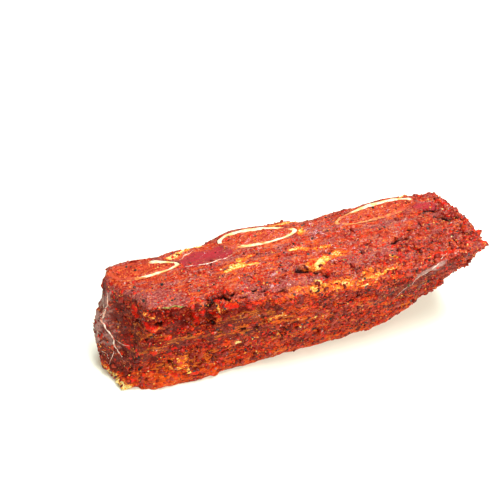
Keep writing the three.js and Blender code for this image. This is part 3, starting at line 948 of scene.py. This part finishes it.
def chanceOn(kind, centres, normals, fields):
    # how thickly a spice lies on each triangle
    onTop, onSides, onBack = kind["where"]
    weight = np.where(normals[:, 2] > 0.6, onTop, np.where(normals[:, 1] > 0.4, onBack, onSides))
    weight = weight * (centres[:, 2] > sparing["lowest"]) * (normals[:, 2] > -0.5)
    weight = weight * between(*sparing["ribs"], np.hypot(*towardRib(centres).T))
    calmTop = between(*sparing["top"], centres[:, 2]) * (1 - between(*sparing["back"], -centres[:, 1]))
    weight = weight * (1 - kind["calm"] * calmTop * (1 - between(*sparing["end"], centres[:, 0])))
    for share, amounts in zip(sparse.values(), fields[:, 1:].T):
        weight = weight * (1 - share * amounts)
    weight = weight * between(*sparing["foot"], centres[:, 2])
    if kind.get("onFat"):
        weight = weight * fields[:, 0] ** 5
    if "clumps" in kind:
        size, stretch = kind["clumps"]
        weight = weight * between(-0.1, 0.35, noiseAt(centres, size, (stretch, 1, 1), seed=kind["seed"]))
    return weight


def scatter(name, spice, surface):
    kind = {**usualSpice, **spice}
    random = np.random.RandomState(kind["seed"])
    count = kind["count"]
    triangles, normals, areas, fields = surface
    chance = chanceOn(kind, triangles.mean(1), normals, fields) * areas
    chosen = random.choice(len(areas), count, p=chance / chance.sum())
    mixes = random.dirichlet((1, 1, 1), count)
    places = (triangles[chosen] * mixes[:, :, None]).sum(1)
    up = unit(normals[chosen] + random.normal(0, kind["tilt"], (count, 3)))
    along = unit(np.array([1, 0, 0]) - up * up[:, :1])
    spin = np.radians(random.uniform(-1, 1, count) * kind["turn"])[:, None]
    first = along * np.cos(spin) + np.cross(up, along) * np.sin(spin)
    second = np.cross(up, first)
    radius = kind["size"][0] + (kind["size"][1] - kind["size"][0]) * random.rand(count, 1) ** 1.8
    rounded = kind.get("rounded", False)
    shape, faces = bitShape(rounded)
    jitter = 1 + kind["jitter"] * random.uniform(-1, 1, (count, len(shape), 1))
    bits = shape * jitter * kind["stretch"] * radius[:, None]
    bits = sum(bits[:, :, i:i + 1] * way[:, None] for i, way in enumerate((first, second, up)))
    bits = bits + (places - up * kind["sink"] * radius)[:, None]
    points = np.clip(bits.reshape(-1, 3), cadLow, cadHigh)
    corners = faces[None] + np.arange(count)[:, None, None] * len(shape)
    mesh = bpy.data.meshes.new(name)
    mesh.from_pydata((points * mm).tolist(), [], corners.reshape(-1, 3).tolist())
    piece = addPiece(name, mesh)
    writeField(piece, "tone", np.repeat(random.rand(count), len(shape)))
    finishPiece(piece, spiceMaterial(name, kind["shades"]), "spiced_meat", smooth=rounded)


# Skin, sinew and smears of paste that lie on the surface

strands = {
    "spacing": 0.7,
    "skin": [
        # at the left end, from the top edge down to a fork
        [(-92.5, 11.5, 50), (-93, 10, 43.4), (-95.7, 10.9, 36.6), (-97.2, 10.9, 32.9), (-95.8, 7.7, 29.8),
         (-94.5, 4.8, 25), (-94.4, 3.1, 20.7), (-92.5, -0.2, 17.5), (-90.5, -3.5, 14.8)],
        [(-94.5, 4.4, 23), (-95.5, 2.8, 17), (-97, 3.4, 12.4), (-98.5, 4.6, 7)],
        [(-98, 12, 30), (-99.5, 13, 24), (-100, 12, 16), (-97.5, 5, 11)],
        [(-94.5, 4.8, 25), (-92, -1, 26), (-88, -5, 26.5)],
        [(-98.5, 13, 33), (-97, 11.5, 38), (-95, 12.5, 43)],
        [(-99.5, 14.5, 28), (-100.5, 15, 20), (-99, 14, 13)],
        # along the top front edge at the right
        [(74, -26, 55), (71.5, -28, 54), (66.3, -29.6, 52), (62, -29.8, 48), (58.8, -29.5, 45.6),
         (53, -29.5, 44)],
        [(62, -29.6, 47.8), (53.5, -27.7, 40), (47, -26.5, 33)],
        # the edges of the bare muscle
        [(-53, 11.8, 55), (-47, 10.4, 55), (-41, 9.7, 55), (-34, 10.2, 55), (-28, 11, 55)],
        [(-54.5, 17.5, 55), (-50, 19.5, 55), (-45.4, 21.3, 55)],
    ],
    "skinRadius": [0.44, 0.2, 0.26, 0.14, 0.24, 0.24, 0.24, 0.14, 0.26, 0.24],
    "herb": [
        [(-71, -12.1, 53.6), (-66, -13.4, 53.4), (-61, -14.5, 53.6)],
        [(22, -12, 56), (24.5, -12.6, 56)],
    ],
    "herbRadius": [0.55, 0.4],
    "sway": 0.9,
    "proud": 0.1,
}
smears = {"radius": 0.75, "spacing": 0.9, "drop": 0.3, "sway": (0.7, 0.7, 0.25), "least": 0.55}
skinColours = {"pale": "c4b3a8", "pink": "b5816f", "paste": "9b3220"}
herbColours = {"dark": "494718", "light": "878142"}


def addTube(curve, points, radii):
    # a round tube along points, in millimetres
    line = curve.splines.new("POLY")
    line.points.add(len(points) - 1)
    for spot, place, radius in zip(line.points, points.tolist(), radii):
        spot.co = (place[0] * mm, place[1] * mm, place[2] * mm, 1)
        spot.radius = radius


def tubesToMesh(curve, name):
    curve.dimensions = "3D"
    curve.bevel_depth = mm
    curve.bevel_resolution = 2
    curve.use_fill_caps = True
    pick(addPiece(name, curve))
    bpy.ops.object.convert(target="MESH")
    piece = bpy.context.object
    writePoints(piece, np.clip(readPoints(piece), cadLow, cadHigh))
    return piece


def resample(path, spacing):
    path = np.array(path, float)
    reach = np.concatenate([[0], np.cumsum(np.linalg.norm(np.diff(path, axis=0), axis=1))])
    at = np.linspace(0, reach[-1], max(3, int(reach[-1] / spacing)))
    return np.stack([np.interp(at, reach, path[:, i]) for i in range(3)], 1)


def sway(points, size, seed):
    return np.stack([noiseAt(points, size, seed=seed + i) for i in range(3)], 1)


def layStrands(name, paths, radii, material, onto):
    curve = bpy.data.curves.new(name, "CURVE")
    for seed, (path, radius) in enumerate(zip(paths, radii)):
        points = resample(path, strands["spacing"])
        points += sway(points, 3, 60 + 3 * seed) * strands["sway"]
        laid = []
        for point in points:
            place, normal = onto.closest_point_on_mesh(Vector(point * mm))[1:3]
            laid.append(np.array(place) / mm + np.array(normal) * strands["proud"])
        wave = np.maximum(1 + 1.1 * noiseAt(points, 2.4, seed=90 + seed), 0.15)
        taper = np.sin(np.linspace(0.25, math.pi - 0.25, len(points)))
        addTube(curve, np.array(laid), radius * wave * taper)
    finishPiece(tubesToMesh(curve, name), material, "spiced_meat")


def skinMaterial():
    shades = tints(skinColours)
    material, shader, place = startMaterial(
        "silverSkin", Roughness=0.3, Specular_IOR_Level=0.4, Coat_Weight=0.4, Coat_Roughness=0.15)
    mottle = clouds(place, 1.6, detail=4)
    colour = mottle.step(0.4, 0.6).blend(shades["pale"], shades["pink"])
    colour = clouds(place, 2.4, detail=3).step(0.56, 0.64).blend(colour, shades["paste"])
    setSocket(shader, "Base Color", colour)
    addBump(shader, mottle, 0.5, 0.15)
    return material


def herbMaterial():
    shades = tints(herbColours)
    material, shader, place = startMaterial("herbStalk", Roughness=0.5, Specular_IOR_Level=0.2)
    colour = clouds(place, 1.2).step(0.4, 0.6).blend(shades["dark"], shades["light"])
    setSocket(shader, "Base Color", colour)
    addBump(shader, clouds(place, 0.5, (4, 1, 1)), 0.5, 0.15)
    return material


def smearPaste(material):
    # an uneven bead of paste along each stretch of rib that paste hides
    curve = bpy.data.curves.new("rib_paste", "CURVE")
    for seed, name in enumerate(ribs):
        low, high = ribBox(name)
        ring = ribOutline(name)
        ring = np.column_stack([ring, np.full(len(ring), high[2] - smears["drop"])])
        bearing = bearingFrom(ring, low, high)
        for centre, half, amount in stains[name]:
            if amount < smears["least"]:
                continue
            off = (bearing - centre + 180) % 360 - 180
            chosen = np.abs(off) < half
            path = ring[chosen][np.argsort(off[chosen])]
            points = resample(path, smears["spacing"])
            points += sway(points, 2.5, 70 + 5 * seed) * smears["sway"]
            wave = 1 + 0.5 * noiseAt(points, 1.8, seed=80 + seed)
            taper = np.sin(np.linspace(0.15, math.pi - 0.15, len(points))) ** 0.4
            addTube(curve, points, smears["radius"] * wave * taper)
    piece = tubesToMesh(curve, "rib_paste")
    writeField(piece, "top", np.ones(len(piece.data.vertices)))
    finishPiece(piece, material, "spiced_meat")


# Building

buildStage()
meatLook = meatMaterial()
meatPiece = buildMeat(meatLook)
boneLook, marrowLook = boneMaterial(), marrowMaterial()
surfaces = [surfaceOf(meatPiece)]
for ribName in ribs:
    buildBone(ribName, boneLook)
    surfaces.append(surfaceOf(buildMarrow(ribName, marrowLook)))
smearPaste(meatLook)
print("ribs built")
layStrands("skin_strands", strands["skin"], strands["skinRadius"], skinMaterial(), meatPiece)
layStrands("herb_stalks", strands["herb"], strands["herbRadius"], herbMaterial(), meatPiece)
print("skin laid")
wholeSurface = [np.concatenate(arrays) for arrays in zip(*surfaces)]
for spiceName, spice in spices.items():
    scatter(spiceName, spice, wholeSurface)
print("spices scattered")
